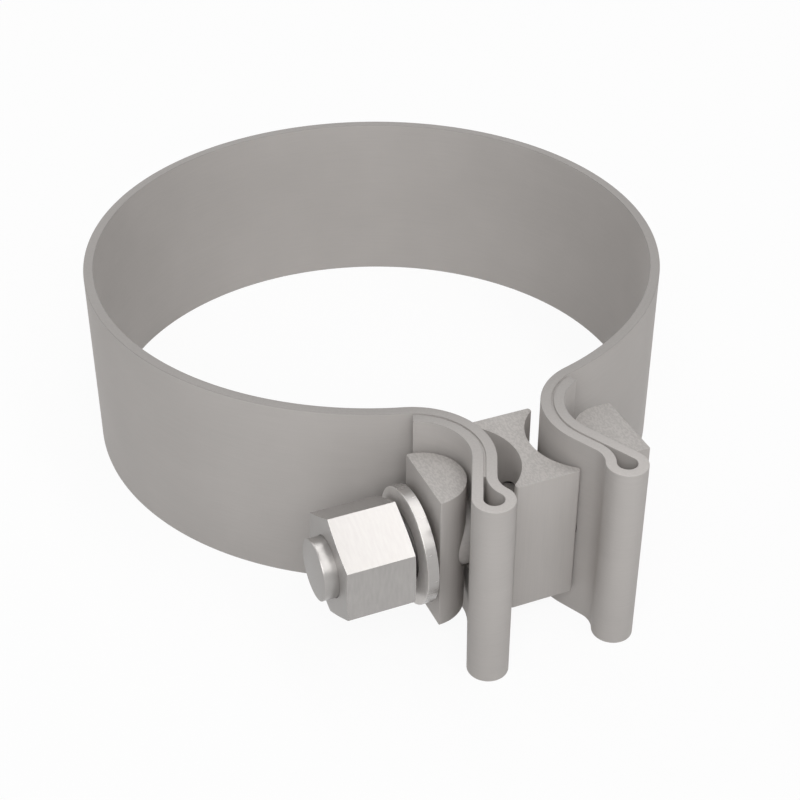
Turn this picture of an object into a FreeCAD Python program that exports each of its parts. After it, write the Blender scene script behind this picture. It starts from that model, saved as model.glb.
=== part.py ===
import FreeCAD, Part
import math
import os

import Sketcher
from FreeCAD import Vector

# Flat-band exhaust clamp, loose on its pipe
#
# The pipe runs along Z and the origin is on its axis, at the middle of the band's width.
# The gap and the two ears point towards -Y, and the stud lies along X with its nut at -X.
# Lengths are millimetres and angles degrees.

SIZES = [
    # Band: one strip, folded from the bore to the free end of the doubler
    ("bore_radius", 47.05),
    ("sheet", 1.6),
    ("band_width", 31.75),
    # Ears: gap at their closest, bend out of the ring, then a straight lean outwards
    ("ear_gap", 9.7),
    ("bend_radius", 12.0),
    ("lean_angle", 25.5),
    ("seam", 0.35),
    # Straight part of the ear, the neck that it ends in, and the loop at the tip
    ("ear_straight", 3.95),
    ("loop_radius", 3.1),
    ("neck_radius", 3.5),
    ("doubler_stop", 7.0),
    # Stud, its end beyond the nut, and how far outside the bends' centres it runs
    ("stud_size", 10.0),
    ("stud_stub", 2.15),
    ("stud_shift", 0.3),
    ("stud_chamfer", 0.4),
    # Room round the stud, in radius: in the bars and block, in the ears, and in the washer
    ("stud_clearance", 0.2),
    ("ear_clearance", 1.5),
    ("washer_clearance", 0.3),
    # Round-backed bars: wall beside the stud's hole, length, and the play between each and its ear
    ("bar_wall", 1.05),
    ("bar_length", 23.0),
    ("nut_bar_play", 0.65),
    ("anchor_bar_play", 1.45),
    ("anchor_bar_base", 2.25),
    # Spacer block, from just outside the bore to a wall beyond the stud's hole. A hollow in each
    # side leaves a flat horn at both ends, and the play is between a horn and the right ear.
    ("block_width", 10.3),
    ("block_waist", 2.6),
    ("block_horn", 0.79),
    ("block_height", 23.0),
    ("block_standoff", 0.1),
    ("block_wall", 1.95),
    ("block_play", 0.25),
    ("block_edge", 0.4),
    # Washer and nut, and the play on each side of the washer
    ("washer_size", 18.0),
    ("washer_sheet", 1.75),
    ("washer_edge", 0.15),
    ("washer_play", 1.25),
    ("nut_flats", 15.0),
    ("nut_height", 10.7),
    ("nut_play", 1.25),
    ("nut_fit", 0.05),
    ("nut_chamfer_angle", 6.0),
    ("nut_face_inset", 0.2),
]

doc = FreeCAD.newDocument("exhaust_clamp")
sizes = doc.addObject("Spreadsheet::Sheet", "sizes")
for row, (name, number) in enumerate(SIZES, start=1):
    sizes.set(f"A{row}", name)
    sizes.set(f"B{row}", str(number))
    sizes.setAlias(f"B{row}", name)
doc.recompute()

# Places that several pieces share
BEND_X = "(sizes.ear_gap / 2 + sizes.bend_radius)"
BEND_Y = f"sqrt((sizes.bore_radius + sizes.bend_radius) ^ 2 - {BEND_X} ^ 2)"
STUD_LINE = f"({BEND_Y} + sizes.stud_shift)"
DOUBLER_RADIUS = "(sizes.bend_radius - 2 * sizes.sheet - sizes.seam)"
EAR_FACE = "(sizes.ear_gap / 2 + 2 * sizes.sheet + sizes.seam)"
STUD_HOLE = "(sizes.stud_size / 2 + sizes.stud_clearance)"
BAR_RADIUS = f"({STUD_HOLE} + sizes.bar_wall)"
NUT_BAR_FLAT = f"(-{EAR_FACE} - sizes.nut_bar_play - {BAR_RADIUS})"
ANCHOR_BAR_FLAT = f"({EAR_FACE} + sizes.anchor_bar_play + {BAR_RADIUS} + sizes.anchor_bar_base)"
WASHER_FACE = f"({NUT_BAR_FLAT} - sizes.washer_play - sizes.washer_sheet)"
NUT_FACE = f"({WASHER_FACE} - sizes.nut_play - sizes.nut_height)"
BLOCK_INNER = "(sizes.bore_radius + sizes.block_standoff)"
BLOCK_OUTER = f"({STUD_LINE} + {STUD_HOLE} + sizes.block_wall)"
BLOCK_MIDDLE = f"(({BLOCK_INNER} + {BLOCK_OUTER}) / 2)"
BLOCK_HALF = f"(({BLOCK_OUTER} - {BLOCK_INNER}) / 2)"

# The ear's straight part starts at X, Y and leans from there; the block lies against its line
LEAN = "(sizes.lean_angle * 1 deg)"
STRAIGHT_X = f"({BEND_X} - sizes.bend_radius * cos{LEAN})"
STRAIGHT_Y = f"({BEND_Y} + sizes.bend_radius * sin{LEAN})"
EAR_AT_HORN = f"({STRAIGHT_X} + ({BLOCK_OUTER} - sizes.block_horn - {STRAIGHT_Y}) * tan{LEAN})"
BLOCK_SHIFT = f"({EAR_AT_HORN} - sizes.block_play / cos{LEAN} - sizes.block_width / 2)"

Z_AXIS = Vector(0, 0, 1)
FLAT = 1e-4

# A sketch's own numbers for its axes, its origin and the three points of an edge
HORIZONTAL, VERTICAL = -1, -2
ROOT_POINT = HORIZONTAL
START, END, CENTRE = range(1, 4)


def amount(expression):
    """The number that an expression on the sheet comes to."""
    return float(sizes.evalExpression(expression))


def origin_plane(body, role):
    for feature in body.Origin.OriginFeatures:
        if feature.Role == role:
            return feature
    raise RuntimeError(f"{body.Name} has no {role}")


def new_body(label):
    body = doc.addObject("PartDesign::Body", label)
    body.Label = label
    return body


def new_sketch(body, name, role):
    sketch = body.newObject("Sketcher::SketchObject", name)
    sketch.AttachmentSupport = [(origin_plane(body, role), "")]
    sketch.MapMode = "FlatFace"
    return sketch


def arc(centre, radius, first, last):
    """Arc of a circle, anticlockwise from one angle to the other, in degrees."""
    circle = Part.Circle(centre, Z_AXIS, radius)
    return Part.ArcOfCircle(circle, math.radians(first), math.radians(last))


def drive(sketch, kind, *where, by):
    """Add a dimension whose value is an expression on the sheet."""
    number = amount(by)
    if kind == "Angle":
        number = math.radians(number)
        by = f"({by}) * 1 deg"
    index = sketch.addConstraint(Sketcher.Constraint(kind, *where, number))
    sketch.setExpression(f"Constraints[{index}]", by)
    return index


def place(piece, x="0", y="0"):
    """Put a piece's own origin at a point of the clamp's mid-plane."""
    piece.setExpression("Placement.Base.x", x)
    piece.setExpression("Placement.Base.y", y)


def symmetric_pad(body, sketch, name, length):
    pad = body.newObject("PartDesign::Pad", name)
    pad.Profile = sketch
    pad.SideType = "Symmetric"
    pad.setExpression("Length", length)
    return pad


def through_pocket(body, sketch, name):
    pocket = body.newObject("PartDesign::Pocket", name)
    pocket.Profile = sketch
    pocket.Type = "ThroughAll"
    pocket.SideType = "Symmetric"
    return pocket


def circle_sketch(body, name, role, radius, x="0"):
    """A circle on the sketch's horizontal axis, at its origin unless x says otherwise."""
    sketch = new_sketch(body, name, role)
    centre = Vector(amount(x), 0, 0)
    sketch.addGeometry(Part.Circle(centre, Z_AXIS, amount(radius)))
    if x == "0":
        sketch.addConstraint(Sketcher.Constraint("Coincident", 0, CENTRE, ROOT_POINT, 1))
    else:
        sketch.addConstraint(Sketcher.Constraint("PointOnObject", 0, CENTRE, HORIZONTAL))
        drive(sketch, "DistanceX", ROOT_POINT, 1, 0, CENTRE, by=x)
    drive(sketch, "Radius", 0, by=radius)
    return sketch


def rectangle_sketch(body, name, left, right, bottom, top):
    """An upright rectangle on the XY plane, from four expressions for its sides."""
    sketch = new_sketch(body, name, "XY_Plane")
    low = Vector(amount(left), amount(bottom), 0)
    high = Vector(amount(right), amount(top), 0)
    corners = [low, Vector(high.x, low.y, 0), high, Vector(low.x, high.y, 0)]
    for number, corner in enumerate(corners):
        sketch.addGeometry(Part.LineSegment(corner, corners[(number + 1) % 4]))
    for number in range(4):
        sketch.addConstraint(Sketcher.Constraint("Coincident", number, END, (number + 1) % 4, START))
    for number in (0, 2):
        sketch.addConstraint(Sketcher.Constraint("Horizontal", number))
    for number in (1, 3):
        sketch.addConstraint(Sketcher.Constraint("Vertical", number))
    if left == "0":
        sketch.addConstraint(Sketcher.Constraint("PointOnObject", 0, START, VERTICAL))
    else:
        drive(sketch, "DistanceX", ROOT_POINT, 1, 0, START, by=left)
    drive(sketch, "DistanceX", ROOT_POINT, 1, 1, START, by=right)
    drive(sketch, "DistanceY", ROOT_POINT, 1, 0, START, by=bottom)
    drive(sketch, "DistanceY", ROOT_POINT, 1, 2, START, by=top)
    return sketch


def rim_edges(shape, inside):
    """Names of the round edges that lie across the local X axis where a test holds."""
    names = []
    for number, edge in enumerate(shape.Edges, start=1):
        box = edge.BoundBox
        if box.XLength < FLAT and inside(box.XMin):
            names.append(f"Edge{number}")
    return names


def upright_edges(shape, inside):
    """Names of the straight edges along Z whose foot passes a test."""
    names = []
    for number, edge in enumerate(shape.Edges, start=1):
        box = edge.BoundBox
        if box.XLength < FLAT and box.YLength < FLAT and inside(box.YMin):
            names.append(f"Edge{number}")
    return names


# Band
#
# Half of the strip is drawn along its bore side: ring, bend, lean, neck, loop, straight return
# and doubler, each tangent to the next. The sheet's thickness is then set off outwards.

def fold_line():
    sketch = doc.addObject("Sketcher::SketchObject", "fold_line")
    bore = amount("sizes.bore_radius")
    bend = amount("sizes.bend_radius")
    neck = amount("sizes.neck_radius")
    loop = amount("sizes.loop_radius")
    doubler = amount(DOUBLER_RADIUS)
    lean = amount("sizes.lean_angle")
    stop = amount("sizes.doubler_stop")

    # Starting positions, close enough for the constraints to settle on the right side
    ring_end = math.degrees(math.atan2(amount(BEND_X), amount(BEND_Y)))
    across = Vector(math.cos(math.radians(lean)), math.sin(math.radians(lean)), 0)
    along = Vector(math.sin(math.radians(lean)), -math.cos(math.radians(lean)), 0)
    bend_centre = Vector(amount(BEND_X), -amount(BEND_Y), 0)
    neck_centre = bend_centre - across * (bend + neck) + along * amount("sizes.ear_straight")
    sideways = bend + neck - doubler - loop
    onward = math.sqrt((neck + loop) ** 2 - sideways ** 2)
    to_loop = across * sideways + along * onward
    loop_centre = neck_centre + to_loop
    neck_turn = math.degrees(math.atan2(to_loop.y, to_loop.x))

    ring_arc = arc(Vector(0, 0, 0), bore, ring_end - 90, 90)
    bend_arc = arc(bend_centre, bend, ring_end + 90, 180 + lean)
    lean_line = Part.LineSegment(bend_centre - across * bend, neck_centre + across * neck)
    neck_arc = arc(neck_centre, neck, neck_turn, lean)
    loop_arc = arc(loop_centre, loop, neck_turn + 180, lean + 360)
    return_line = Part.LineSegment(loop_centre + across * loop, bend_centre - across * doubler)
    doubler_arc = arc(bend_centre, doubler, ring_end + 90 + stop, 180 + lean)
    path = [ring_arc, bend_arc, lean_line, neck_arc, loop_arc, return_line, doubler_arc]
    ring, bent, straight, necked, looped, returned, doubled = sketch.addGeometry(path, False)

    centre_line = Part.LineSegment(Vector(0, 0, 0), bend_centre)
    stop_line = Part.LineSegment(bend_centre, doubler_arc.StartPoint)
    centres, stopped = sketch.addGeometry([centre_line, stop_line], True)

    joins = [
        (ring, START, bent, START),
        (bent, END, straight, START),
        (straight, END, necked, END),
        (necked, START, looped, START),
        (looped, END, returned, START),
        (returned, END, doubled, END),
    ]
    for join in joins:
        sketch.addConstraint(Sketcher.Constraint("Tangent", *join))
    meetings = [
        (ring, CENTRE, ROOT_POINT, 1),
        (doubled, CENTRE, bent, CENTRE),
        (centres, START, ROOT_POINT, 1),
        (centres, END, bent, CENTRE),
        (stopped, START, bent, CENTRE),
        (stopped, END, doubled, START),
    ]
    for meeting in meetings:
        sketch.addConstraint(Sketcher.Constraint("Coincident", *meeting))
    sketch.addConstraint(Sketcher.Constraint("PointOnObject", ring, END, VERTICAL))
    sketch.addConstraint(Sketcher.Constraint("Parallel", straight, returned))

    drive(sketch, "Radius", ring, by="sizes.bore_radius")
    drive(sketch, "Radius", bent, by="sizes.bend_radius")
    drive(sketch, "Radius", necked, by="sizes.neck_radius")
    drive(sketch, "Radius", looped, by="sizes.loop_radius")
    drive(sketch, "Radius", doubled, by=DOUBLER_RADIUS)
    drive(sketch, "DistanceX", ROOT_POINT, 1, bent, CENTRE, by=BEND_X)
    drive(sketch, "Distance", straight, by="sizes.ear_straight")
    drive(sketch, "Angle", straight, by="sizes.lean_angle - 90")
    drive(sketch, "Angle", centres, END, stopped, START, by="sizes.doubler_stop")
    return sketch


def build_band():
    line = fold_line()

    section = doc.addObject("Part::Offset2D", "half_section")
    section.Source = line
    section.Mode = "Skin"
    section.Join = "Intersection"
    section.Fill = True
    section.setExpression("Value", "sizes.sheet")

    half = doc.addObject("Part::Extrusion", "half_band")
    half.Base = section
    half.DirMode = "Custom"
    half.Dir = Z_AXIS
    half.Solid = True
    half.Symmetric = True
    half.setExpression("LengthFwd", "sizes.band_width")

    other_half = doc.addObject("Part::Mirroring", "other_half")
    other_half.Source = half
    other_half.Normal = Vector(1, 0, 0)

    strip = doc.addObject("Part::Fuse", "strip")
    strip.Base = half
    strip.Tool = other_half
    strip.Refine = True

    hole = doc.addObject("Part::Cylinder", "ear_holes")
    hole.setExpression("Radius", "sizes.stud_size / 2 + sizes.ear_clearance")
    hole.setExpression("Height", f"2 * {BEND_X}")
    hole.Placement = FreeCAD.Placement(Vector(0, 0, 0), FreeCAD.Rotation(Vector(0, 1, 0), 90))
    place(hole, f"-{BEND_X}", f"-{STUD_LINE}")

    band = doc.addObject("Part::Cut", "band")
    band.Base = strip
    band.Tool = hole
    return band


# Bars: sawn from round-backed rod, with the back towards +X and the flat on the local origin.
# The nut bar is a plain half-round. The anchor bar has a straight base under its round back.

def half_round_sketch(body, label, base):
    profile = new_sketch(body, f"{label}_back", "XY_Plane")
    radius = amount(BAR_RADIUS)
    centre = Vector(amount(base), 0, 0)
    profile.addGeometry(arc(centre, radius, -90, 90))
    profile.addGeometry(Part.LineSegment(centre + Vector(0, radius, 0), centre - Vector(0, radius, 0)))
    profile.addConstraint(Sketcher.Constraint("Coincident", 0, END, 1, START))
    profile.addConstraint(Sketcher.Constraint("Coincident", 1, END, 0, START))
    profile.addConstraint(Sketcher.Constraint("Vertical", 1))
    profile.addConstraint(Sketcher.Constraint("PointOnObject", 0, CENTRE, HORIZONTAL))
    profile.addConstraint(Sketcher.Constraint("PointOnObject", 0, CENTRE, 1))
    drive(profile, "Radius", 0, by=BAR_RADIUS)
    if base == "0":
        profile.addConstraint(Sketcher.Constraint("PointOnObject", 0, CENTRE, VERTICAL))
    else:
        drive(profile, "DistanceX", ROOT_POINT, 1, 0, CENTRE, by=base)
    return profile


def build_bar(label, hole_radius, base="0"):
    body = new_body(label)
    back = half_round_sketch(body, label, base)
    symmetric_pad(body, back, f"{label}_round", "sizes.bar_length")
    if base != "0":
        foot = rectangle_sketch(body, f"{label}_foot", "0", base, f"-{BAR_RADIUS}", BAR_RADIUS)
        symmetric_pad(body, foot, f"{label}_base", "sizes.bar_length")
    hole = circle_sketch(body, f"{label}_hole", "YZ_Plane", hole_radius)
    through_pocket(body, hole, f"{label}_bore")
    return body


# Spacer block: a bar with a round hollow along each side, so that the ears' bends seat in it

def build_block():
    body = new_body("spacer_block")
    side = "sizes.block_width / 2"
    profile = rectangle_sketch(body, "block_profile", f"-{side}", side, f"-{BLOCK_HALF}", BLOCK_HALF)
    symmetric_pad(body, profile, "block_bar", "sizes.block_height")

    # The circle that passes through both horns and is as deep as the waist asks
    depth = "((sizes.block_width - sizes.block_waist) / 2)"
    hollow_radius = f"((({BLOCK_HALF} - sizes.block_horn) ^ 2 + {depth} ^ 2) / (2 * {depth}))"
    hollow_line = f"(sizes.block_waist / 2 + {hollow_radius})"
    hollow = circle_sketch(body, "hollow_profile", "XY_Plane", hollow_radius, hollow_line)
    cut = through_pocket(body, hollow, "hollow")
    doc.recompute()
    mirrored = body.newObject("PartDesign::Mirrored", "second_hollow")
    mirrored.Originals = [cut]
    mirrored.MirrorPlane = (origin_plane(body, "YZ_Plane"), [""])
    body.Tip = mirrored
    doc.recompute()

    # The stud runs nearer the block's outer end than its middle
    hole = circle_sketch(body, "block_hole", "YZ_Plane", STUD_HOLE, f"({BLOCK_MIDDLE} - {STUD_LINE})")
    bored = through_pocket(body, hole, "block_bore")
    doc.recompute()

    rounded = body.newObject("PartDesign::Fillet", "horn_edges")
    end = amount(BLOCK_HALF) - FLAT
    rounded.Base = (bored, upright_edges(bored.Shape, lambda y: abs(y) > end))
    rounded.setExpression("Radius", "sizes.block_edge")
    place(body, BLOCK_SHIFT, f"-{BLOCK_MIDDLE}")
    return body


# Stud: starts flush with the anchor bar's flat and ends in a chamfer past the nut

def build_stud():
    body = new_body("clamp_stud")
    section = circle_sketch(body, "stud_section", "YZ_Plane", "sizes.stud_size / 2")
    shank = body.newObject("PartDesign::Pad", "shank")
    shank.Profile = section
    shank.Reversed = True
    shank.setExpression("Length", f"{ANCHOR_BAR_FLAT} - {NUT_FACE} + sizes.stud_stub")
    doc.recompute()
    chamfer = body.newObject("PartDesign::Chamfer", "tip_chamfer")
    chamfer.Base = (shank, rim_edges(shank.Shape, lambda x: x < -FLAT))
    chamfer.setExpression("Size", "sizes.stud_chamfer")
    place(body, ANCHOR_BAR_FLAT, f"-{STUD_LINE}")
    return body


# Washer: outer edges slightly broken, as a stamped washer's are

def build_washer():
    body = new_body("washer")
    outline = circle_sketch(body, "washer_outline", "YZ_Plane", "sizes.washer_size / 2")
    disc = body.newObject("PartDesign::Pad", "disc")
    disc.Profile = outline
    disc.setExpression("Length", "sizes.washer_sheet")
    doc.recompute()
    broken = body.newObject("PartDesign::Chamfer", "rim_chamfer")
    broken.Base = (disc, rim_edges(disc.Shape, lambda x: True))
    broken.setExpression("Size", "sizes.washer_edge")
    hole = circle_sketch(body, "washer_hole", "YZ_Plane", "sizes.stud_size / 2 + sizes.washer_clearance")
    through_pocket(body, hole, "washer_eye")
    place(body, WASHER_FACE, f"-{STUD_LINE}")
    return body


# Nut: a hexagon with two corners up and down, whose ends are turned to a cone

def turn_nut_ends(body):
    """Groove a triangle off the corners at each end of the nut."""
    inner = "sizes.nut_flats / 2 - sizes.nut_face_inset"
    outer = "sizes.nut_flats / sqrt(3) + sizes.nut_face_inset"
    depth = f"(({outer}) - ({inner})) * tan(sizes.nut_chamfer_angle * 1 deg)"
    low = amount(inner)
    high = amount(outer)
    deep = amount(depth)
    for name, face, towards in (("outer_end", "0", 1), ("inner_end", "sizes.nut_height", -1)):
        sketch = new_sketch(body, f"{name}_turning", "XY_Plane")
        end = amount(face)
        points = [
            Vector(end, low, 0),
            Vector(end, high, 0),
            Vector(end + towards * deep, high, 0),
        ]
        for number, point in enumerate(points):
            sketch.addGeometry(Part.LineSegment(point, points[(number + 1) % 3]))
        for number in range(3):
            sketch.addConstraint(Sketcher.Constraint("Coincident", number, END, (number + 1) % 3, START))
        sketch.addConstraint(Sketcher.Constraint("Vertical", 0))
        sketch.addConstraint(Sketcher.Constraint("Horizontal", 1))
        if face == "0":
            sketch.addConstraint(Sketcher.Constraint("PointOnObject", 0, START, VERTICAL))
            drive(sketch, "DistanceX", 1, START, 1, END, by=depth)
        else:
            drive(sketch, "DistanceX", ROOT_POINT, 1, 0, START, by=face)
            drive(sketch, "DistanceX", 1, END, 1, START, by=depth)
        drive(sketch, "DistanceY", ROOT_POINT, 1, 0, START, by=inner)
        drive(sketch, "DistanceY", ROOT_POINT, 1, 0, END, by=outer)
        groove = body.newObject("PartDesign::Groove", f"{name}_cone")
        groove.Profile = sketch
        groove.ReferenceAxis = (sketch, ["H_Axis"])
        groove.Angle = 360
        doc.recompute()


def build_nut():
    body = new_body("hex_nut")
    corner = amount("sizes.nut_flats / sqrt(3)")
    outline = new_sketch(body, "nut_outline", "YZ_Plane")
    corners = [
        Vector(corner * math.cos(math.radians(turn)), corner * math.sin(math.radians(turn)), 0)
        for turn in range(90, 450, 60)
    ]
    for number, point in enumerate(corners):
        outline.addGeometry(Part.LineSegment(point, corners[(number + 1) % 6]))
    rim = outline.addGeometry(Part.Circle(Vector(0, 0, 0), Z_AXIS, corner), True)
    outline.addConstraint(Sketcher.Constraint("Coincident", rim, CENTRE, ROOT_POINT, 1))
    for number in range(6):
        outline.addConstraint(Sketcher.Constraint("Coincident", number, END, (number + 1) % 6, START))
        outline.addConstraint(Sketcher.Constraint("PointOnObject", number, START, rim))
    for number in range(1, 6):
        outline.addConstraint(Sketcher.Constraint("Equal", 0, number))
    outline.addConstraint(Sketcher.Constraint("PointOnObject", 0, START, VERTICAL))
    drive(outline, "Radius", rim, by="sizes.nut_flats / sqrt(3)")
    hexagon = body.newObject("PartDesign::Pad", "hexagon")
    hexagon.Profile = outline
    hexagon.setExpression("Length", "sizes.nut_height")

    hole = circle_sketch(body, "nut_hole", "YZ_Plane", "sizes.stud_size / 2 + sizes.nut_fit")
    through_pocket(body, hole, "nut_bore")
    turn_nut_ends(body)
    place(body, NUT_FACE, f"-{STUD_LINE}")
    return body


band = build_band()
nut_bar = build_bar("nut_bar", STUD_HOLE)
place(nut_bar, NUT_BAR_FLAT, f"-{STUD_LINE}")
anchor_bar = build_bar("anchor_bar", "sizes.stud_size / 2", "sizes.anchor_bar_base")
anchor_bar.Placement = FreeCAD.Placement(Vector(0, 0, 0), FreeCAD.Rotation(Z_AXIS, 180))
place(anchor_bar, ANCHOR_BAR_FLAT, f"-{STUD_LINE}")
spacer_block = build_block()
clamp_stud = build_stud()
washer = build_washer()
hex_nut = build_nut()
doc.recompute()

pieces = [band, nut_bar, anchor_bar, spacer_block, clamp_stud, washer, hex_nut]
for item in doc.Objects:
    if "Invalid" in item.State or "Error" in item.State:
        raise RuntimeError(f"{item.Name} failed: {item.State}")
for piece in pieces:
    if piece.Shape.isNull() or not piece.Shape.isValid():
        raise RuntimeError(f"{piece.Label} has no valid shape")
    if len(piece.Shape.Solids) != 1:
        raise RuntimeError(f"{piece.Label} is {len(piece.Shape.Solids)} solids")

os.makedirs("parts", exist_ok=True)
for piece in pieces:
    piece.Shape.exportStep(f"parts/{piece.Label}.step")
    box = piece.Shape.BoundBox
    print(
        f"{piece.Label}: {piece.Shape.Volume:.1f} mm3,"
        f" x {box.XMin:.2f} to {box.XMax:.2f},"
        f" y {box.YMin:.2f} to {box.YMax:.2f},"
        f" z {box.ZMin:.2f} to {box.ZMax:.2f}"
    )
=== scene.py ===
# %% [markdown]
# # A flat-band exhaust clamp
#
# The clamp is one steel strip bent into a ring. Its two ends turn outwards as ears, and each
# ear is folded back on itself round a small loop. A stud, a nut, two round-backed bars and a
# spacer block pull the ears together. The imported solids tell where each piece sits; this
# lesson builds finer pieces over them and gives each surface its finish.
#
# The first cell loads those solids. Their box is kept, so that the finished pieces can be
# compared with it at the end.

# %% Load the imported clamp
import math

import bmesh
import bpy
import numpy as np
from mathutils import Matrix, Vector


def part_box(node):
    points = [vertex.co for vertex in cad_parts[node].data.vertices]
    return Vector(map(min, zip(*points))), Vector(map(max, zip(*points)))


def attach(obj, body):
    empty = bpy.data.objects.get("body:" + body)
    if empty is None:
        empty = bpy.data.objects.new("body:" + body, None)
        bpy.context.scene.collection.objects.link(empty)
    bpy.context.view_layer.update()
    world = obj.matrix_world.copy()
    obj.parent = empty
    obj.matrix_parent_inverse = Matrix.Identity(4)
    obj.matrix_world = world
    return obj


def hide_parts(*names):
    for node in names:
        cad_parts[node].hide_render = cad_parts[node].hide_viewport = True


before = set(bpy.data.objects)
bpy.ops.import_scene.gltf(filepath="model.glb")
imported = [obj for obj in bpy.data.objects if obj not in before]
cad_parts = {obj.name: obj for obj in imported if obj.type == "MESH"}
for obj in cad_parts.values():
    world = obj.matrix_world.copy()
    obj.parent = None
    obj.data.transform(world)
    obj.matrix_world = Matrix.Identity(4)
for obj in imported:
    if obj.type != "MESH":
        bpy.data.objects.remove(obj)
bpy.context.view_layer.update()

print("Solid nodes:", sorted(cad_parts))

# %% [markdown]
# ## Millimetres and the stud's line
#
# Everything is drawn in millimetres, because that is how such a clamp is made, and each mesh
# is scaled to metres once, when its piece is finished. Small numbers near zero would also
# trouble the boolean and bevel tools.
#
# The origin is on the pipe's axis, halfway up the band. The ears point to -Y, and the stud
# lies along X with its nut at -X. Each ear starts with a wide bend. The bend's centre follows
# from the bore's radius, the bend's radius and the gap between the ears, and the stud passes
# just outside it. So these few sizes place all that the stud holds.

# %% Place the bends and the stud
MM = 0.001
TO_METRES = Matrix.Scale(MM, 4)

BORE = 47.05
BEND = 12.0
EAR_GAP = 9.7
STUD_SHIFT = 0.3

BEND_X = EAR_GAP / 2 + BEND
BEND_Y = math.sqrt((BORE + BEND) ** 2 - BEND_X ** 2)
STUD_Y = -(BEND_Y + STUD_SHIFT)
print(f"Bends at X {BEND_X:.2f} and Y {-BEND_Y:.2f} mm, the stud at Y {STUD_Y:.2f} mm")

# %% [markdown]
# ## The line that the strip is folded to
#
# The real band is one strip, so it is drawn as one: a section is swept along the line that
# the strip is folded to. It could also be joined from a ring and two ears, but then each
# joint would show. The line is walked as a turtle would walk it, straight on or round an arc
# to the left or right, so every bend runs smoothly into the next.

# %% Walk along straights and arcs
def walk(moves, start=(0.0, BORE), heading=0.0):
    """Points and left-hand normals on the way.

    A move is its kind, its length or radius in millimetres, its turn in degrees (positive to
    the left) and the size of a step, in millimetres on a straight and in degrees on an arc.
    """
    x, y, stations = start[0], start[1], []
    angle = math.radians(heading)

    def note():
        stations.append((x, y, -math.sin(angle), math.cos(angle)))

    note()
    for kind, size, turn, step in moves:
        if kind == "straight":
            pieces = max(1, round(size / step))
            for _ in range(pieces):
                x += math.cos(angle) * size / pieces
                y += math.sin(angle) * size / pieces
                note()
            continue
        pieces = max(2, math.ceil(abs(turn) / step))
        side = math.copysign(size, turn)
        for _ in range(pieces):
            centre_x, centre_y = x - math.sin(angle) * side, y + math.cos(angle) * side
            angle += math.radians(turn) / pieces
            x, y = centre_x + math.sin(angle) * side, centre_y - math.cos(angle) * side
            note()
    return stations


print(f"The walk starts opposite the ears, {BORE} mm from the pipe's axis")

# %% [markdown]
# The walk starts opposite the ears and goes round the ring, out along one ear, round its loop
# and back down the second layer of the ear, the doubler. The sheet's thickness always lies on
# the left hand: outside the ring, inside the loop, and towards the seam where the two layers
# lie side by side. Only one half is walked; the other is its mirror image.

# %% Fold the strip
SHEET = 1.6
SEAM = 0.35
LEAN = 25.5
STRAIGHT = 3.95
NECK = 3.5
LOOP = 3.1
DOUBLER_STOP = 7.0
RING_STEP, BEND_STEP, LOOP_STEP, STRAIGHT_STEP = 1.5, 3.0, 5.0, 1.0

ring_end = math.degrees(math.atan2(BEND_X, BEND_Y))
bend_turn = 90 + LEAN - ring_end
doubler = BEND - 2 * SHEET - SEAM
sideways = BEND + NECK - doubler - LOOP
onward = math.sqrt((NECK + LOOP) ** 2 - sideways ** 2)
neck_turn = 90 - math.degrees(math.atan2(sideways, onward))

half_ring = ("arc", BORE, -(180 - ring_end), RING_STEP)
half = walk([
    half_ring,
    ("arc", BEND, bend_turn, BEND_STEP),
    ("straight", STRAIGHT, 0, STRAIGHT_STEP),
    ("arc", NECK, -neck_turn, LOOP_STEP),
    ("arc", LOOP, 180 + neck_turn, LOOP_STEP),
    ("straight", STRAIGHT + onward, 0, STRAIGHT_STEP),
    ("arc", doubler, -(bend_turn - DOUBLER_STOP), BEND_STEP),
])
fold_line = [(-x, y, -nx, ny) for x, y, nx, ny in reversed(half[1:])] + half
print("One half ends at", tuple(round(v, 2) for v in half[-1][:2]), "mm")
print("The whole fold line has", len(fold_line), "stations")

# %% [markdown]
# ## Steel
#
# Bare rolled steel carries a thin dull skin. It mirrors only a part of the light and
# scatters the rest, so its shader is about one third metal. Plated steel is at least half
# metal and smoother, and one high lamp flashes off it. What tells the finishes of one steel
# apart is roughness, the direction of the fine lines left by a tool, and the slight change of
# tone along them. Noise that is squeezed across one direction and pulled out along another
# draws such lines without any image.
#
# Five little helpers come first. Each adds one step of such a shader.

# %% Nodes for a finish
NOISE_RANGE = 0.2


def noise(tree, place, lines, detail):
    """Noise with a number of lines per millimetre along X, Y and Z."""
    mapping = tree.nodes.new("ShaderNodeMapping")
    mapping.inputs["Scale"].default_value = [value / MM for value in lines]
    texture = tree.nodes.new("ShaderNodeTexNoise")
    texture.inputs["Scale"].default_value = 1.0
    texture.inputs["Detail"].default_value = detail
    tree.links.new(place, mapping.inputs["Vector"])
    tree.links.new(mapping.outputs["Vector"], texture.inputs["Vector"])
    return texture.outputs["Fac"]


def carry(tree, source, old, new):
    """Carry a value from its old range to a new one."""
    ranged = tree.nodes.new("ShaderNodeMapRange")
    for socket, value in zip(("From Min", "From Max", "To Min", "To Max"), (*old, *new)):
        ranged.inputs[socket].default_value = value
    tree.links.new(source, ranged.inputs["Value"])
    return ranged.outputs["Result"]


def swing(tree, source, share, middle=1.0, half_range=NOISE_RANGE):
    """Let noise swing a value to both sides of its middle, by a share of it."""
    old = (0.5 - half_range, 0.5 + half_range)
    return carry(tree, source, old, (middle * (1 - share), middle * (1 + share)))


def calculate(tree, operation, first, second):
    """A Math node; each of its two values is a number or another node's output."""
    result = tree.nodes.new("ShaderNodeMath")
    result.operation = operation
    for socket, value in zip(result.inputs, (first, second)):
        if isinstance(value, float):
            socket.default_value = value
        else:
            tree.links.new(value, socket)
    return result.outputs["Value"]


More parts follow.
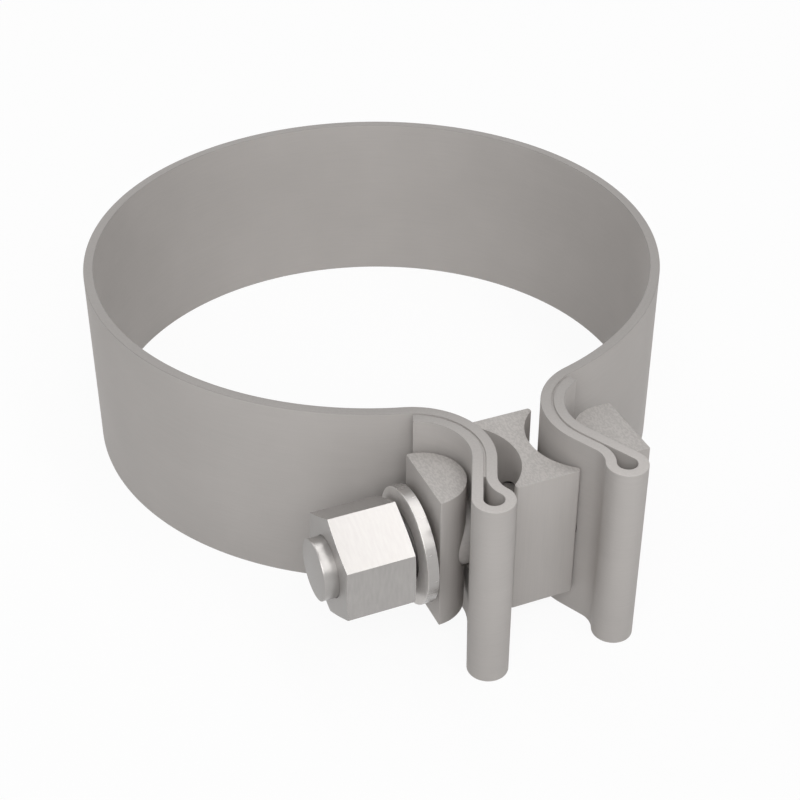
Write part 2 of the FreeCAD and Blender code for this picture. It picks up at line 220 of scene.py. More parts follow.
def painted_light_ramp(tree, place, begin, end, gain):
    """Painted light: 1 up to one place along Y, rising to the gain at another."""
    axes = tree.nodes.new("ShaderNodeSeparateXYZ")
    tree.links.new(place, axes.inputs["Vector"])
    return carry(tree, axes.outputs["Y"], (begin * MM, end * MM), (1.0, gain))


print("Noise is taken from", 0.5 - NOISE_RANGE, "to", 0.5 + NOISE_RANGE)

# %% [markdown]
# The helpers are put together to one kind of shader. The fine noise changes the tone, the
# roughness and, through a bump, the light on the surface. A broad noise adds faint patches,
# as handling leaves them. A finish may also have grit, for a sawn face, and painted light: a
# tone that gets lighter towards one end along Y.

# %% A steel with fine lines
PATCH_LINES, PATCH_DETAIL, PATCH_SWING = (0.08, 0.08, 0.08), 2.0, 0.02
GRIT_DETAIL, GRIT_SWING, GRIT_RANGE = 2.0, 0.07, 0.08
ROUGHNESS_SWING = 0.07
RELIEF = 0.05


def steel(name, tone, roughness, lines, metal, grain, bump,
          sheen=0.5, detail=3.0, grit_lines=None, painted_light=None):
    """A steel whose lines run along the axes where `lines`, per millimetre, is small."""
    material = bpy.data.materials.new(name)
    material.use_nodes = True
    tree = material.node_tree
    shader = tree.nodes["Principled BSDF"]
    shader.inputs["Metallic"].default_value = metal
    shader.inputs["Specular IOR Level"].default_value = sheen
    place = tree.nodes.new("ShaderNodeTexCoord").outputs["Object"]

    fine = noise(tree, place, lines, detail)
    patches = noise(tree, place, PATCH_LINES, PATCH_DETAIL)
    shade = calculate(
        tree, "MULTIPLY", swing(tree, fine, grain), swing(tree, patches, PATCH_SWING)
    )
    height = fine
    if grit_lines:
        grit = noise(tree, place, grit_lines, GRIT_DETAIL)
        spots = swing(tree, grit, GRIT_SWING, half_range=GRIT_RANGE)
        shade = calculate(tree, "MULTIPLY", shade, spots)
        height = calculate(tree, "MULTIPLY", fine, grit)
    # Painted light: the tone is raised along Y between two places.
    if painted_light:
        shade = calculate(tree, "MULTIPLY", shade, painted_light_ramp(tree, place, *painted_light))

    colour = tree.nodes.new("ShaderNodeVectorMath")
    colour.operation = "SCALE"
    colour.inputs[0].default_value = tone
    tree.links.new(shade, colour.inputs["Scale"])
    tree.links.new(colour.outputs["Vector"], shader.inputs["Base Color"])
    dullness = swing(tree, fine, ROUGHNESS_SWING, middle=roughness)
    tree.links.new(dullness, shader.inputs["Roughness"])

    relief = tree.nodes.new("ShaderNodeBump")
    relief.inputs["Strength"].default_value = bump
    relief.inputs["Distance"].default_value = RELIEF * MM
    tree.links.new(height, relief.inputs["Height"])
    tree.links.new(relief.outputs["Normal"], shader.inputs["Normal"])
    print(f"{name}: roughness {roughness}, lines per mm {lines}")
    return material


# %% [markdown]
# ## The two finishes of the strip
#
# Rolling leaves faint lines along the strip, so its noise is fine only across the width. The
# sheared long edges are darker and rougher. Towards the loops their tone gets a painted
# highlight, which grows along Y.

# %% Rolled faces and sheared edges
MATT = (0.48, 0.457, 0.440)
EDGES = (0.36, 0.343, 0.331)
MATT_METAL, MATT_SHEEN = 0.35, 0.1
# The painted highlight on the sheared edges rises from the first place to the second along Y.
LIGHT_RAMP_FROM, LIGHT_RAMP_TO, LIGHT_RAMP_GAIN = -46, -72, 1.42

rolled = steel(
    "rolled_strip", MATT, 0.7, (0.15, 0.15, 6.0),
    metal=MATT_METAL, grain=0.03, bump=0.08, sheen=MATT_SHEEN,
)
sheared = steel(
    "sheared_edge_painted_light", EDGES, 0.72, (3.0, 3.0, 0.5),
    metal=MATT_METAL, grain=0.05, bump=0.15, sheen=MATT_SHEEN,
    painted_light=(LIGHT_RAMP_FROM, LIGHT_RAMP_TO, LIGHT_RAMP_GAIN),
)

# %% [markdown]
# ## The band
#
# The strip is sheared from a wide sheet, which leaves its long edges a little rounded. The
# section therefore has a small radius at each corner. Its points go round from the lower
# corner on the bore's side, so the two long walls of the section can be told from its edges by
# their number, and only they get the rolled finish.

# %% The strip's section
WIDTH = 31.75
EDGE = 0.1
EDGE_STEPS = 3
ROLLED_WALLS = (2 * (EDGE_STEPS + 1) - 1, 4 * (EDGE_STEPS + 1) - 1)


def strip_section(shrink=0.0):
    """The strip's section as (across, up) points, anticlockwise from the bore side."""
    low, high = -WIDTH / 2, WIDTH / 2
    section = []
    for across, up, first in ((0, low, 180), (SHEET, low, 270), (SHEET, high, 0), (0, high, 90)):
        centre_across = across + EDGE * (1 if across == 0 else -1)
        centre_up = up + EDGE * (1 if up == low else -1)
        for step in range(EDGE_STEPS + 1):
            turn = math.radians(first + 90 / EDGE_STEPS * step)
            section.append((
                centre_across + (EDGE - shrink) * math.cos(turn),
                centre_up + (EDGE - shrink) * math.sin(turn),
            ))
    return section


print("Points in the strip's section:", len(strip_section()))

# %% [markdown]
# A sweep sets the section on every station of the line, turned to the line's normal, and
# joins each one to the next with a ring of faces. The two free ends get a slightly smaller
# section, so that they are not knife-sharp.

# %% Sweep a section along a line
def mesh_object(name, points, faces):
    """A new piece in the scene, made of points and faces."""
    mesh = bpy.data.meshes.new(name)
    mesh.from_pydata([tuple(p) for p in points], [], faces)
    mesh.validate()
    piece = bpy.data.objects.new(name, mesh)
    bpy.context.scene.collection.objects.link(piece)
    return piece


def face_outwards(piece):
    """Turn every face of a closed mesh outwards."""
    shape = bmesh.new()
    shape.from_mesh(piece.data)
    bmesh.ops.recalc_face_normals(shape, faces=shape.faces)
    shape.to_mesh(piece.data)
    shape.free()
    return piece


def sweep(name, line, section, end_section, rolled_walls=()):
    """Sweep a section; all faces but the rolled walls get the second material."""
    points, faces, kinds = [], [], []
    count = len(section)
    last = len(line) - 1
    for number, (x, y, nx, ny) in enumerate(line):
        for across, up in (end_section if number in (0, last) else section):
            points.append((x + nx * across, y + ny * across, up))
        if number < last:
            for i in range(count):
                j = (i + 1) % count
                a, b = number * count, (number + 1) * count
                faces.append((a + i, a + j, b + j, b + i))
                kinds.append(0 if i in rolled_walls else 1)
    faces.append(tuple(range(count)))
    faces.append(tuple(range(last * count, (last + 1) * count)))
    kinds += [1, 1]
    piece = mesh_object(name, points, faces)
    piece.data.polygons.foreach_set("material_index", kinds)
    return face_outwards(piece)


END_DRAWN_IN = 0.09
band = sweep("band_strip", fold_line, strip_section(), strip_section(END_DRAWN_IN), ROLLED_WALLS)
for material in (rolled, sheared):
    band.data.materials.append(material)
print(f"{band.name}: {len(band.data.polygons)} faces before the holes are cut")

# %% [markdown]
# ## Drilling the stud's hole
#
# The holes of the ears, the bars and the block all lie on the stud's line. A hole could be
# left open while a mesh is built, but through a curved wall that is hard to do by hand. So a
# plain rod on that line is taken away from the finished shape, as a drill would do it. The
# stud is later made of such rods too. An extra ring of points near each end keeps a rod's
# shading straight where its edge is broken.

# %% Rods, booleans and the drill
ROUND = 96
RING_INSET = 0.3
DRILL_REACH = 40.0


def rod(name, radius, first, last, between=(), segments=ROUND):
    """A plain round rod on the stud's line, with rings at the places given between its ends."""
    points, faces = [], []
    rings = (first, first + RING_INSET, *between, last - RING_INSET, last)
    for x in rings:
        for step in range(segments):
            turn = 2 * math.pi * step / segments
            points.append((x, STUD_Y + radius * math.cos(turn), radius * math.sin(turn)))
    last_ring = (len(rings) - 1) * segments
    for start in range(0, last_ring, segments):
        for i in range(segments):
            j = (i + 1) % segments
            faces.append((start + i, start + j, start + j + segments, start + i + segments))
    faces.append(tuple(range(segments)))
    faces.append(tuple(range(last_ring, last_ring + segments)))
    return face_outwards(mesh_object(name, points, faces))


def apply_modifiers(piece):
    """Replace a piece's mesh by what its modifiers make of it."""
    graph = bpy.context.evaluated_depsgraph_get()
    mesh = bpy.data.meshes.new_from_object(piece.evaluated_get(graph))
    piece.modifiers.clear()
    piece.data = mesh


def combine(piece, tool, operation):
    """Cut, join or intersect a piece with a tool, and throw the tool away."""
    modifier = piece.modifiers.new(operation.lower(), "BOOLEAN")
    modifier.operation = operation
    modifier.solver = "EXACT"
    modifier.object = tool
    apply_modifiers(piece)
    bpy.data.objects.remove(tool)


def drill(piece, radius, reach=DRILL_REACH):
    """Drill the stud's hole through a piece, from both sides of the middle."""
    combine(piece, rod("drill", radius, -reach, reach), "DIFFERENCE")


print("A drill passes", DRILL_REACH, "mm to either side")

# %% [markdown]
# ## Finishing a piece
#
# Each mesh now has to become a piece of the clamp: scaled to metres, shaded smooth up to its
# true edges, and tied to the body that it moves with. It replaces the solid of the same
# place, which is hidden but stays in the scene. The printed length tells at once if a piece
# reaches out of the place of its solid.

# %% Turn the strip into the band
STUD_RADIUS = 5.0
EAR_CLEARANCE = 1.5


def finish_piece(piece, body, node, sharp=35):
    """Let a mesh take a solid's place; edges sharper than `sharp` degrees stay sharp."""
    mesh = piece.data
    mesh.transform(TO_METRES)
    mesh.shade_smooth()
    mesh.set_sharp_from_angle(angle=math.radians(sharp))
    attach(piece, body)
    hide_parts(node)

    spots = np.array([v.co for v in mesh.vertices])
    low, high = (np.array(corner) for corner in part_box(node))
    past = max((low - spots.min(0)).max(), (spots.max(0) - high).max(), 0.0)
    triangles = sum(len(face.vertices) - 2 for face in mesh.polygons)
    print(f"{piece.name}: {triangles} triangles, {past / MM:.3f} mm past its solid's box")
    used = [face.material_index for face in mesh.polygons]
    print("  faces per finish:", {m.name: used.count(i) for i, m in enumerate(mesh.materials)})


drill(band, STUD_RADIUS + EAR_CLEARANCE, reach=BEND_X)
finish_piece(band, "band", "band")

# %% [markdown]
# ## The seams of the ears
#
# On the real clamp the two layers of an ear are pressed together, and only a shallow groove
# shows between their rounded edges. The solids keep a gap there, so a thin strip of the same
# steel closes it a little below the rim. It is swept along the part of the fold line where
# the two layers lie side by side, and it is a hair thicker than the gap, so that no light
# comes through.

# %% Close the seams
GROOVE = 0.3
OVERLAP = 0.05
SEAM_INSET = 2

seam_begin = DOUBLER_STOP + SEAM_INSET
x, y, nx, ny = walk([half_ring, ("arc", BEND, seam_begin, BEND_STEP)])[-1]
seam_line = walk(
    [("arc", BEND, bend_turn - seam_begin, BEND_STEP), ("straight", STRAIGHT, 0, STRAIGHT_STEP)],
    start=(x, y), heading=math.degrees(math.atan2(-nx, ny)),
)
mirrored_line = [(-x, y, -nx, ny) for x, y, nx, ny in seam_line]
near_side, far_side = SHEET - OVERLAP, SHEET + SEAM + OVERLAP
top = WIDTH / 2 - GROOVE
seam_section = [(near_side, -top), (far_side, -top), (far_side, top), (near_side, top)]
for side, line in (("right", seam_line), ("left", mirrored_line)):
    seam = sweep(f"band_seam_{side}", line, seam_section, seam_section)
    for material in (rolled, sheared):
        seam.data.materials.append(material)
    drill(seam, STUD_RADIUS + EAR_CLEARANCE, reach=BEND_X)
    finish_piece(seam, "band", "band")

# %% [markdown]
# ## The finishes of the bars and the block
#
# These pieces are sawn off drawn rod, whose long faces have fine lines along their length.
# The saw runs along Y and leaves rough lines of that direction and a fine grit. The broken
# edges between the two are worn smoother.

# %% Drawn faces, worn edges and sawn ends
SAWN = (0.455, 0.434, 0.418)

drawn = steel(
    "drawn_bar", MATT, 0.68, (6.0, 6.0, 0.12),
    metal=MATT_METAL, grain=0.03, bump=0.08, sheen=MATT_SHEEN,
)
worn = steel(
    "worn_edge", MATT, 0.6, (1.0, 1.0, 1.0),
    metal=MATT_METAL, grain=0.05, bump=0.05, sheen=MATT_SHEEN,
)
sawn = steel(
    "sawn_end", SAWN, 0.72, (5.0, 0.8, 5.0),
    metal=MATT_METAL, grain=0.03, bump=0.2, sheen=MATT_SHEEN, grit_lines=(4.4, 2.0, 4.4),
)

# %% [markdown]
# ## Cutting off and breaking edges
#
# A bar or a block is one outline pushed up from its lower end to its upper end. Then a bevel
# breaks the sharp edges, because no real edge is a perfect corner: without it the edges catch
# no light and the piece looks like paper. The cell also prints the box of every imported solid,
# since the next pieces take their places along X from there.

# %% Push an outline up and break its edges
BROKEN_EDGE = 0.08
BAR_LENGTH = 23.0
SQUARE_ON = 0.9
SAWN_END = 2


def extrude(name, outline, low, high):
    """Push a closed outline in the XY plane up from one height to another."""
    count = len(outline)
    points = [(x, y, low) for x, y in outline] + [(x, y, high) for x, y in outline]
    sides = [(i, (i + 1) % count, (i + 1) % count + count, i + count) for i in range(count)]
    ends = [tuple(range(count))[::-1], tuple(range(count, 2 * count))]
    return face_outwards(mesh_object(name, points, sides + ends))


def soften(piece, width=BROKEN_EDGE, segments=2, angle=30):
    """Break every sharp edge; the narrow faces that this makes get the second material."""
    modifier = piece.modifiers.new("soften", "BEVEL")
    modifier.width = width
    modifier.segments = segments
    modifier.limit_method = "ANGLE"
    modifier.angle_limit = math.radians(angle)
    modifier.use_clamp_overlap = True
    modifier.miter_outer = "MITER_ARC"
    modifier.material = 1
    apply_modifiers(piece)


def sawn_off(name, outline, hole_radius):
    """A piece sawn off to the bars' length, drilled, with broken edges and sawn ends."""
    piece = extrude(name, outline, -BAR_LENGTH / 2, BAR_LENGTH / 2)
    for material in (drawn, worn, sawn):
        piece.data.materials.append(material)
    drill(piece, hole_radius)
    soften(piece)
    for face in piece.data.polygons:
        if abs(face.normal.z) > SQUARE_ON:
            face.material_index = SAWN_END
    return piece


def corners(node):
    """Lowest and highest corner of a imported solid, in millimetres."""
    low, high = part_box(node)
    return low / MM, high / MM


for node in sorted(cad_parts):
    low, high = corners(node)
    print(f"{node}: {tuple(round(v, 2) for v in low)} to {tuple(round(v, 2) for v in high)}")

# %% [markdown]
# ## The round-backed bars
#
# One bar sits in the hollow side of each ear and spreads the stud's pull over it. The bar at
# the nut is a plain half round. The one at the other end holds the stud fast and stands on a
# short straight base. A half cylinder could be cut from a round one, but its outline needs
# only one arc, so that is drawn instead.

# %% Make the bars
BAR_RADIUS = 6.25
ANCHOR_BASE = 2.25
STUD_CLEARANCE = 0.2
ANCHOR_FIT = 0.06
BACK_STEPS = 48


def bar_outline(flat_x, base, side):
    """A round back towards `side` of X, on a straight base of the given depth."""
    outline = [(flat_x, STUD_Y - BAR_RADIUS), (flat_x, STUD_Y + BAR_RADIUS)] if base else []
    centre = flat_x + side * base
    for step in range(BACK_STEPS + 1):
        turn = math.radians(90 - 180 * step / BACK_STEPS)
        outline.append((
            centre + side * BAR_RADIUS * math.cos(turn),
            STUD_Y + BAR_RADIUS * math.sin(turn),
        ))
    return outline


nut_flat = corners("nut_bar")[0].x
anchor_flat = corners("anchor_bar")[1].x
half_round = bar_outline(nut_flat, 0, 1)
nut_bar = sawn_off("nut_bar_round", half_round, STUD_RADIUS + STUD_CLEARANCE)
finish_piece(nut_bar, "nut_bar", "nut_bar")

based_round = bar_outline(anchor_flat, ANCHOR_BASE, -1)
anchor_bar = sawn_off("anchor_bar_round", based_round, STUD_RADIUS + ANCHOR_FIT)
finish_piece(anchor_bar, "stud", "anchor_bar")

# %% [markdown]
# ## The spacer block
#
# The block keeps the ears apart while the band is pulled tight. Its two hollow sides leave
# four horns, and the ears' bends seat between them. One outline with two arcs gives the whole
# shape; the corners of the horns are rounded in the outline itself. Only one side of it is
# worked out; the other is the same side, turned half round.

# %% Make the block
BLOCK_WIDTH = 10.3
BLOCK_WAIST = 2.6
BLOCK_HORN = 0.79
BLOCK_EDGE = 0.4
BLOCK_STANDOFF = 0.1
BLOCK_WALL = 1.95
HORN_STEPS, HOLLOW_STEPS = 6, 32


def block_outline():
    """The block's closed outline in the XY plane, at the place of its solid."""
    inner = BORE + BLOCK_STANDOFF
    outer = -STUD_Y + STUD_RADIUS + STUD_CLEARANCE + BLOCK_WALL
    half_length, middle = (outer - inner) / 2, -(outer + inner) / 2
    depth = (BLOCK_WIDTH - BLOCK_WAIST) / 2
    reach = half_length - BLOCK_HORN
    radius = (reach ** 2 + depth ** 2) / (2 * depth)
    hollow = math.degrees(math.asin(reach / radius))

    horn = []
    for step in range(HORN_STEPS + 1):
        turn = math.radians(-90 + 90 / HORN_STEPS * step)
        horn.append((
            BLOCK_WIDTH / 2 - BLOCK_EDGE + BLOCK_EDGE * math.cos(turn),
            -half_length + BLOCK_EDGE + BLOCK_EDGE * math.sin(turn),
        ))
    arc = []
    for step in range(HOLLOW_STEPS + 1):
        turn = math.radians(180 + hollow - 2 * hollow * step / HOLLOW_STEPS)
        arc.append((
            BLOCK_WAIST / 2 + radius + radius * math.cos(turn),
            radius * math.sin(turn),
        ))
    side = horn + arc + [(x, -y) for x, y in reversed(horn)]
    whole = side + [(-x, -y) for x, y in side]
    low, high = corners("spacer_block")
    shift = (low.x + high.x) / 2
    print(f"Hollows of radius {radius:.2f} mm, block shifted by {shift:.2f} mm")
    return [(x + shift, y + middle) for x, y in whole]


block = sawn_off("spacer_block_bored", block_outline(), STUD_RADIUS + STUD_CLEARANCE)
finish_piece(block, "block", "spacer_block")

# %% [markdown]
# ## The finishes of the plated pieces
#
# The stud, the nut and the washer are plated, so they are brighter than the band and their
# lines are so shallow that they only drag the reflections a little. Brushed faces have lines
# round the stud, and turned ends are duller. The stretch of the stud that shows beside the ear
# and the washer's two faces get a pale tone, which is painted light: they stand in shade and
# would otherwise look far too dark. A cut thread is dull and uneven.

# %% Brushed, turned, pale painted-light and cut faces
BRIGHT = (0.40, 0.385, 0.373)
# PALE is painted light, a tone for faces that stand in shade.
PALE = (0.70, 0.673, 0.652)

brushed = steel(
    "brushed_zinc", BRIGHT, 0.24, (2.2, 0.5, 0.5),
    metal=0.65, grain=0.05, bump=0.003, detail=1.5,
)
turned = steel(
    "turned_zinc", BRIGHT, 0.5, (1.0, 2.0, 2.0),
    metal=0.6, grain=0.03, bump=0.01, detail=1.0,
)
# Painted light: the pale tone lifts the shaded faces of the washer and the stud.
shade_lifted = steel(
    "shade_lifted_zinc", PALE, 0.5, (1.0, 2.0, 2.0),
    metal=0.5, grain=0.03, bump=0.01, detail=1.0,
)
stamped = steel(
    "stamped_zinc", BRIGHT, 0.26, (0.3, 1.6, 1.6),
    metal=0.65, grain=0.04, bump=0.001, detail=1.0,
)
zinc_edge = steel(
    "zinc_edge", BRIGHT, 0.3, (1.0, 1.0, 1.0),
    metal=0.7, grain=0.03, bump=0.001, detail=1.0,
)
cut_thread = steel(
    "cut_thread", BRIGHT, 0.5, (3.0, 3.0, 3.0),
    metal=0.6, grain=0.04, bump=0.05,
)

# %% [markdown]
# ## The thread
#
# A thread is one small profile carried along a helix, so the mesh is a ribbon of that profile
# whose last point joins the first point of the next turn. A displaced cylinder would be
# quicker but leaves soft crests. The ribbon is made longer than needed and then cut square at
# both ends.

# %% Carry a profile along a helix
PITCH = 1.5
ROOT_FLAT, CREST_FLAT = 0.38, 0.18
SPARE_TURNS = 3
THREAD_STEPS = 64


def thread_ribbon(name, crest, root, first, last):
    """An open right-hand thread on the stud's line, with spare turns at both ends."""
    flank = (PITCH - ROOT_FLAT - CREST_FLAT) / 2
    rise = ROOT_FLAT / 2
    fall = rise + flank + CREST_FLAT
    profile = [(0.0, root), (rise, root), (rise + flank, crest)]
    profile += [(fall, crest), (fall + flank, root)]
    count = len(profile)
    steps = math.ceil((last - first) / PITCH + SPARE_TURNS) * THREAD_STEPS
    start = first - SPARE_TURNS / 2 * PITCH
    points, faces = [], []
    for step in range(steps + 1):
        turn = 2 * math.pi * step / THREAD_STEPS
        for x, radius in profile:
            along = start + x + PITCH * step / THREAD_STEPS
            points.append((along, STUD_Y + radius * math.cos(turn), radius * math.sin(turn)))

    def corner(step, place):
        return (step + THREAD_STEPS) * count if place == count else step * count + place

    for step in range(steps - THREAD_STEPS):
        for i in range(count):
            faces.append((
                corner(step, i), corner(step, i + 1), corner(step + 1, i + 1), corner(step + 1, i)
            ))
    return mesh_object(name, points, faces)


def cut_square(piece, first, last):
    """Cut an open piece square to X at two places and close it there."""
    shape = bmesh.new()
    shape.from_mesh(piece.data)
    for x, direction in ((first, -1), (last, 1)):
        everything = shape.verts[:] + shape.edges[:] + shape.faces[:]
        bmesh.ops.bisect_plane(
            shape, geom=everything, plane_co=(x, 0, 0), plane_no=(direction, 0, 0), clear_outer=True
        )
    bmesh.ops.holes_fill(shape, edges=[e for e in shape.edges if e.is_boundary])
    loose = [v for v in shape.verts if not v.link_faces]
    bmesh.ops.delete(shape, geom=loose, context="VERTS")
    bmesh.ops.recalc_face_normals(shape, faces=shape.faces)
    open_edges = sum(e.is_boundary for e in shape.edges)
    print(f"{piece.name}: {len(shape.faces)} faces, open edges {open_edges}")
    shape.to_mesh(piece.data)
    shape.free()


# %% [markdown]
# ## The stud
#
# The stud starts flush with the anchor bar's flat. Its shank is plain, and a thread runs
# from inside the nut's bar through the washer and most of the nut. The visible end beyond the
# nut is plain and a little thinner, cut square with its edge broken. Shank, thread and end are
# joined into one closed mesh. The shank keeps the first finish, and every other stretch gets
# its own by its place along X.

# %% Make the stud
STUB = 2.15
POINT_STEP = 0.35
POINT_REACH = 2.0
SHANK_SET_IN = 3.5
SHOWN_LENGTH = 5.0
CREST_STEP, THREAD_DEPTH = 0.02, 0.6
JOIN = 0.1
END_ON = 0.95
POINT, THREAD, ENDS, SHOWN = range(1, 5)

nut_low = corners("hex_nut")[0]
thread_start = nut_low.x + POINT_REACH
shank_start = nut_flat + SHANK_SET_IN
shown_end = shank_start + SHOWN_LENGTH
point_radius = STUD_RADIUS - POINT_STEP

thread = thread_ribbon(
    "stud_thread", STUD_RADIUS - CREST_STEP, STUD_RADIUS - THREAD_DEPTH,
    thread_start - JOIN, shank_start + JOIN,
)
cut_square(thread, thread_start - JOIN, shank_start + JOIN)
point = rod("stud_end", point_radius, nut_low.x - STUB, thread_start)
stud = rod("stud_threaded", STUD_RADIUS, shank_start, anchor_flat, between=(shown_end,))
combine(stud, thread, "UNION")
combine(stud, point, "UNION")
for material in (brushed, zinc_edge, cut_thread, turned, shade_lifted):
    stud.data.materials.append(material)
soften(stud, angle=60)
# The stretch beside the ear gets the pale tone of painted light.
for face in stud.data.polygons:
    if thread_start - 2 * JOIN < face.center.x < shank_start:
        face.material_index = THREAD
    elif abs(face.normal.x) > END_ON:
        face.material_index = ENDS
    elif face.center.x < thread_start:
        face.material_index = POINT
    elif shank_start < face.center.x < shown_end:
        face.material_index = SHOWN
finish_piece(stud, "stud", "clamp_stud", sharp=25)

# %% [markdown]
# ## The washer
#
# A washer is stamped from sheet: the punch rounds the rim on one side and leaves it crisper
# on the other. That is a closed profile spun round the stud's line. Its two faces get the pale
# tone of painted light, as they lie in shade, and the rim and the hole are bright.

# %% Make the washer
WASHER_RADIUS = 9.0
WASHER_CLEARANCE = 0.3
ROUNDED, ROUNDED_MIDDLE = 0.1, 0.03
CRISP, CRISP_MIDDLE = 0.06, 0.02
EYE_EDGE = 0.15
FINE_ROUND = 128


def spin(name, profile, segments=FINE_ROUND):
    """Spin a closed profile of (x, radius) points round the stud's line."""
    count = len(profile)
    points, faces = [], []
    for step in range(segments):
        turn = 2 * math.pi * step / segments
        for x, radius in profile:
            points.append((x, STUD_Y + radius * math.cos(turn), radius * math.sin(turn)))
        here, after = step * count, (step + 1) % segments * count
        for i in range(count):
            j = (i + 1) % count
            faces.append((here + i, here + j, after + j, after + i))
    return face_outwards(mesh_object(name, points, faces))


washer_low, washer_high = corners("washer")
left, right = washer_low.x, washer_high.x
eye = STUD_RADIUS + WASHER_CLEARANCE
washer = spin("washer_plain", [
    (left, WASHER_RADIUS - ROUNDED),
    (left + ROUNDED_MIDDLE, WASHER_RADIUS - ROUNDED_MIDDLE),
    (left + ROUNDED, WASHER_RADIUS),
    (right - CRISP, WASHER_RADIUS),
    (right - CRISP_MIDDLE, WASHER_RADIUS - CRISP_MIDDLE),
    (right, WASHER_RADIUS - CRISP),
    (right, eye + EYE_EDGE),
    (right - EYE_EDGE, eye),
    (left + EYE_EDGE, eye),
    (left, eye + EYE_EDGE),
])
for material in (shade_lifted, stamped):
    washer.data.materials.append(material)
# The washer's faces get the pale tone of painted light.
for face in washer.data.polygons:
    face.material_index = 0 if abs(face.normal.x) > SQUARE_ON else 1
finish_piece(washer, "washer", "washer", sharp=15)

# %% [markdown]
# ## The nut
#
# A nut is cut from hexagon bar and its two ends are turned, which takes a curved bite off
# each corner. The same is done here: a hexagonal prism is intersected with a spun blank that
# is slightly coned at both ends. The blank also carries the bore, so no second cut is needed.
# Rings of grooves stand for the nut's thread, and a short lip at the outer end closes round
# the thinner end of the stud.

# %% The hexagon bar
NUT_FLATS = 15.0
NUT_HEIGHT = 10.7

near, far = nut_low.x, nut_low.x + NUT_HEIGHT
corner_radius = NUT_FLATS / math.sqrt(3)
hexagon = []
for step in range(6):
    turn = math.radians(90 + 60 * step)
    hexagon.append((STUD_Y + corner_radius * math.cos(turn), corner_radius * math.sin(turn)))
points = [(x, y, z) for x in (near, far) for y, z in hexagon]
sides = [(i, (i + 1) % 6, (i + 1) % 6 + 6, i + 6) for i in range(6)]
ends = [tuple(range(6)), tuple(range(6, 12))]
nut = face_outwards(mesh_object("nut_hexagon", points, sides + ends))
for material in (brushed, zinc_edge, turned):
    nut.data.materials.append(material)
print(f"The nut measures {2 * corner_radius:.2f} mm across its corners")

# %% Turn the ends and the bore
NUT_CONE = 6.0
NUT_INSET = 0.2
NUT_FIT = 0.05
BLANK_SPARE = 0.5
GROOVE_DEPTH = 0.25
BORE_MOUTH = 0.3
LIP, LIP_RAMP, LIP_EDGE = 0.4, 0.3, 0.05
GROOVE_POINTS = 13
NUT_BROKEN_EDGE = 0.07
TURNED_END = 2

face_radius = NUT_FLATS / 2 - NUT_INSET
reach = corner_radius + BLANK_SPARE
slope = (reach - face_radius) * math.tan(math.radians(NUT_CONE))
land, groove = STUD_RADIUS + NUT_FIT, STUD_RADIUS + GROOVE_DEPTH
lip = point_radius + NUT_FIT
outside = [
    (near, lip + LIP_EDGE), (near, face_radius), (near + slope, reach),
    (far - slope, reach), (far, face_radius), (far, groove),
]
grooves = [
    (far - BORE_MOUTH - PITCH / 2 * i, groove if i % 2 else land) for i in range(GROOVE_POINTS)
]
mouth = [(near + LIP + LIP_RAMP, land), (near + LIP, lip), (near + LIP_EDGE, lip)]
combine(nut, spin("nut_blank", outside + grooves + mouth), "INTERSECT")
soften(nut, NUT_BROKEN_EDGE, angle=40)
for face in nut.data.polygons:
    if abs(face.normal.x) > SQUARE_ON:
        face.material_index = TURNED_END
finish_piece(nut, "nut", "hex_nut", sharp=12)

# %% [markdown]
# ## The floor
#
# The clamp stands on a plain pale floor in a bright, even room. Metal shows what is round it,
# so the floor and the sky are also what the steel reflects: they are near white for the
# camera and for reflections, and a calmer grey for the soft light that they throw back. Light
# Path tells the two apart. The floor keeps a tenth of its true shading for the camera, so
# that a faint shadow is left.

# %% Lay the floor
FLOOR_Z = -WIDTH / 2
FLOOR_HALF = 3000
FLOOR_GREY = (0.6, 0.6, 0.6, 1)
FLOOR_ROUGHNESS = 0.9
WHITE = (1, 1, 1, 1)
FLOOR_GLOW = 1.03
GLOW_SHARE = 0.9


def shown_ray(tree):
    """1 for the rays that show the background: to the camera, in metal and through glass."""
    ray = tree.nodes.new("ShaderNodeLightPath")
    total = ray.outputs["Is Camera Ray"]
    for kind in ("Is Glossy Ray", "Is Transmission Ray"):
        total = calculate(tree, "MAXIMUM", total, ray.outputs[kind])
    return total


ground = [(-1, -1), (1, -1), (1, 1), (-1, 1)]
floor = mesh_object(
    "floor", [(x * FLOOR_HALF, y * FLOOR_HALF, FLOOR_Z) for x, y in ground], [(0, 1, 2, 3)]
)
floor.data.transform(TO_METRES)

paper = bpy.data.materials.new("pale_floor")
paper.use_nodes = True
tree = paper.node_tree
matt = tree.nodes["Principled BSDF"]
matt.inputs["Base Color"].default_value = FLOOR_GREY
matt.inputs["Roughness"].default_value = FLOOR_ROUGHNESS
glow = tree.nodes.new("ShaderNodeEmission")
glow.inputs["Color"].default_value = WHITE
glow.inputs["Strength"].default_value = FLOOR_GLOW
blend = tree.nodes.new("ShaderNodeMixShader")
tree.links.new(calculate(tree, "MULTIPLY", shown_ray(tree), GLOW_SHARE), blend.inputs["Fac"])
tree.links.new(matt.outputs["BSDF"], blend.inputs[1])
tree.links.new(glow.outputs["Emission"], blend.inputs[2])
tree.links.new(blend.outputs["Shader"], tree.nodes["Material Output"].inputs["Surface"])
floor.data.materials.append(paper)
print("Floor at", FLOOR_Z, "mm")

# %% [markdown]
# ## The sky
#
# The sky does the same with two Background nodes: white where it is seen, and a dim even
# light everywhere else, which fills the shadows.

# %% Hang the sky
ROOM_LIGHT = 0.25
SEEN_WHITE = 0.982

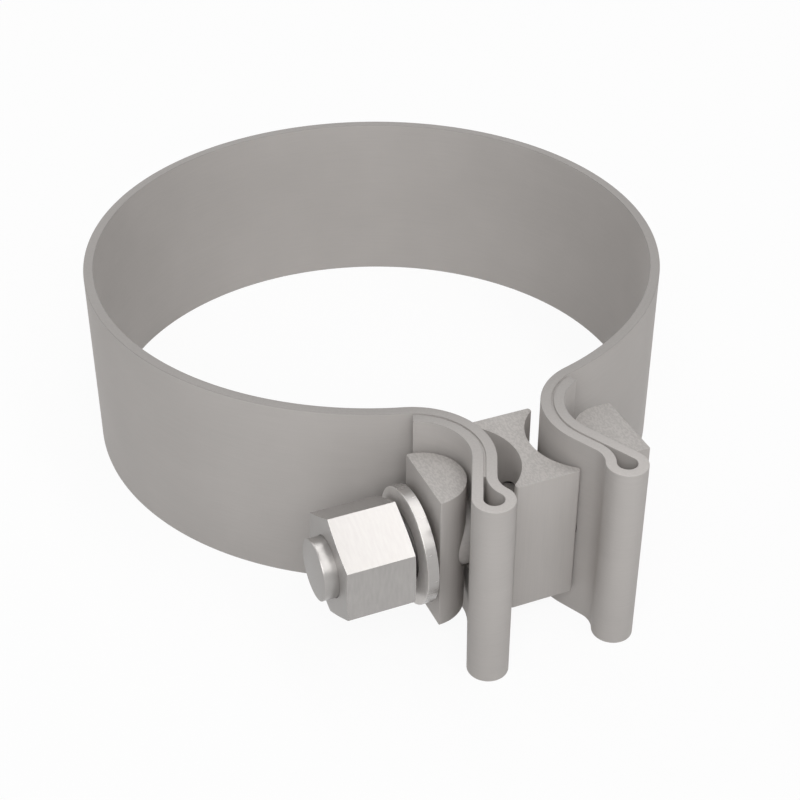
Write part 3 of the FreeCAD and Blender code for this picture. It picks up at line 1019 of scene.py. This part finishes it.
sky = bpy.data.worlds.new("studio")
sky.use_nodes = True
tree = sky.node_tree
room = tree.nodes["Background"]
room.inputs["Color"].default_value = WHITE
room.inputs["Strength"].default_value = ROOM_LIGHT
seen = tree.nodes.new("ShaderNodeBackground")
seen.inputs["Color"].default_value = WHITE
seen.inputs["Strength"].default_value = SEEN_WHITE
choose = tree.nodes.new("ShaderNodeMixShader")
tree.links.new(shown_ray(tree), choose.inputs["Fac"])
tree.links.new(room.outputs["Background"], choose.inputs[1])
tree.links.new(seen.outputs["Background"], choose.inputs[2])
tree.links.new(choose.outputs["Shader"], tree.nodes["World Output"].inputs["Surface"])
bpy.context.scene.world = sky
print("Sky: seen as", SEEN_WHITE, "and lighting with", ROOM_LIGHT)

# %% [markdown]
# ## The lamps
#
# Three soft lamps shape the clamp. A long narrow one high above gives the flash on the nut's
# upper face, on the washer's rim and on the end of the stud. Its long side crosses the stud's
# line, so that the flat face and the round ones next to it all mirror it. A wide one in front
# lights the ears and the bars, and a weak one behind lights the back of the ring.

# %% Set up the lamps
LIT_SPOT = Vector((-15, STUD_Y, 0)) * MM


def softbox(name, towards, distance, size, power):
    """A lamp in a direction from the lit spot, facing it; the first side lies along X."""
    lamp = bpy.data.lights.new(name, "AREA")
    lamp.shape = "RECTANGLE"
    lamp.size, lamp.size_y = size
    lamp.energy = power
    back = Vector(towards).normalized()
    across = (Vector((1, 0, 0)) - back * back.x).normalized()
    turned_to = Matrix((across, back.cross(across), back)).transposed()
    stand = bpy.data.objects.new(name, lamp)
    stand.location = LIT_SPOT + back * distance
    stand.rotation_mode = "QUATERNION"
    stand.rotation_quaternion = turned_to.to_quaternion()
    bpy.context.scene.collection.objects.link(stand)
    print(f"{name}: {power} W, {distance} m away")


softbox("high_lamp", (0.318, -0.16, 0.934), distance=1.1, size=(0.24, 3.0), power=6.6)
softbox("front_lamp", (-0.31, -0.68, 0.669), distance=1.6, size=(1.2, 1.2), power=15.5)
softbox("back_lamp", (-0.2, 0.87, 0.45), distance=1.6, size=(1.2, 1.2), power=4.5)

# %% [markdown]
# ## The camera
#
# The camera's place and direction, in metres, and its lens were found by fitting the clamp's
# outline to the photo. A nearer camera with a shorter lens would show the clamp as large, but
# its ears would look too big against the ring.

# %% Place the camera
CAMERA_PLACE = (-0.09207, -0.22960, 0.15898)
CAMERA_LOOK = (0.31840, 0.75178, -0.57745)
LENS, SENSOR = 75.17, 36.0
NEAREST = 0.01

optics = bpy.data.cameras.new("camera")
optics.lens = LENS
optics.sensor_width = SENSOR
optics.clip_start = NEAREST
camera = bpy.data.objects.new("camera", optics)
camera.location = CAMERA_PLACE
camera.rotation_mode = "QUATERNION"
camera.rotation_quaternion = Vector(CAMERA_LOOK).to_track_quat("-Z", "Y")
bpy.context.scene.collection.objects.link(camera)
bpy.context.scene.camera = camera
bpy.context.scene.view_settings.view_transform = "Standard"
print(f"Camera with a {LENS} mm lens")
